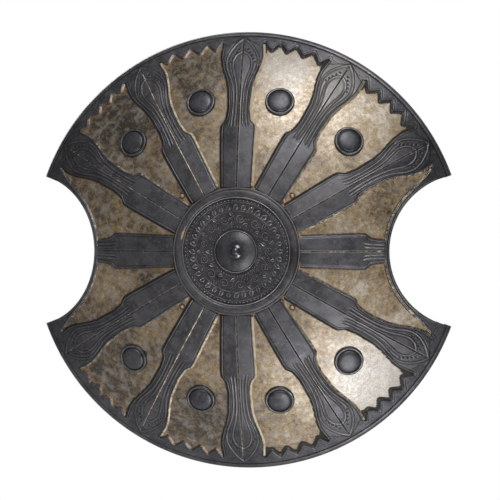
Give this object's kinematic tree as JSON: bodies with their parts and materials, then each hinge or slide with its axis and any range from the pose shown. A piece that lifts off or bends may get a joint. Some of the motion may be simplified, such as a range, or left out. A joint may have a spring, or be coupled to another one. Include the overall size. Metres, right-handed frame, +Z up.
{
  "type": "two-bite round shield",
  "caption": "Round domed shield with a bite in each side, radial rib straps, a toothed rim band, window roundels, a hub, and straps and carrying rings behind.",
  "frame": {"origin": "on the shield's axis, in the plane of the rim's flat back, where the forearm holds it", "axes": "+Z up along the shield's height, +X to the right of someone who looks at the face, +Y out of the back; the face looks along -Y"},
  "size_m": [0.844, 0.1602, 0.9],
  "materials": {
    "board_wood": "oiled dark planks, dry in the grain",
    "gold_facing": "mottled aged bronze gold, satin",
    "dark_frame": "blackened pewter grey, semi-gloss, worn edges",
    "dark_boss": "blackened, smooth, semi-gloss",
    "rusty_rivet": "brown rust stain",
    "old_brass": "dull aged brass",
    "strap_leather": "dark brown harness leather, creased",
    "pad_leather": "soft brown leather, stitched edge"
  },
  "bodies": {
    "shield": {"plank_1": "board_wood", "plank_2": "board_wood", "plank_3": "board_wood", "plank_4": "board_wood", "plank_5": "board_wood", "plank_end_upper_left": "board_wood", "plank_end_lower_left": "board_wood", "plank_end_upper_right": "board_wood", "plank_end_lower_right": "board_wood", "facing_sheet": "gold_facing", "rib_01": "dark_frame", "rib_02": "dark_frame", "rib_03": "dark_frame", "rib_04": "dark_frame", "rib_05": "dark_frame", "rib_06": "dark_frame", "rib_07": "dark_frame", "rib_08": "dark_frame", "rib_09": "dark_frame", "rib_10": "dark_frame", "rib_11": "dark_frame", "rib_12": "dark_frame", "rim_band_upper": "dark_frame", "rim_band_lower": "dark_frame", "bite_band_left": "dark_frame", "bite_band_right": "dark_frame", "hub_ring": "dark_frame", "hub_plate": "dark_frame", "centre_boss": "dark_boss", "centre_rivet": "dark_boss", "centre_rove": "old_brass", "roundel_1": "dark_boss", "roundel_2": "dark_boss", "roundel_3": "dark_boss", "roundel_4": "dark_boss", "roundel_5": "dark_boss", "roundel_6": "dark_boss", "roundel_7": "dark_boss", "roundel_8": "dark_boss", "forearm_strap": "strap_leather", "hand_grip": "strap_leather", "forearm_pad": "pad_leather", "strap_rivet_1": "rusty_rivet", "strap_rivet_2": "rusty_rivet", "strap_rivet_3": "rusty_rivet", "strap_rivet_4": "rusty_rivet", "strap_rove_1": "old_brass", "strap_rove_2": "old_brass", "strap_rove_3": "old_brass", "strap_rove_4": "old_brass", "ring_staple_left": "old_brass", "ring_staple_right": "old_brass"},
    "ring_left": {"carry_ring_left": "old_brass"},
    "ring_right": {"carry_ring_right": "old_brass"}
  },
  "joints": [
    {"name": "ring_left_swing", "type": "hinge", "parent": "shield", "child": "ring_left", "pos_m": [-0.235, -0.0566, 0.23415], "axis": [1, 0, 0], "range_deg": [-5, 145]},
    {"name": "ring_right_swing", "type": "hinge", "parent": "shield", "child": "ring_right", "pos_m": [0.235, -0.0566, 0.23415], "axis": [1, 0, 0], "range_deg": [-5, 145]}
  ]
}
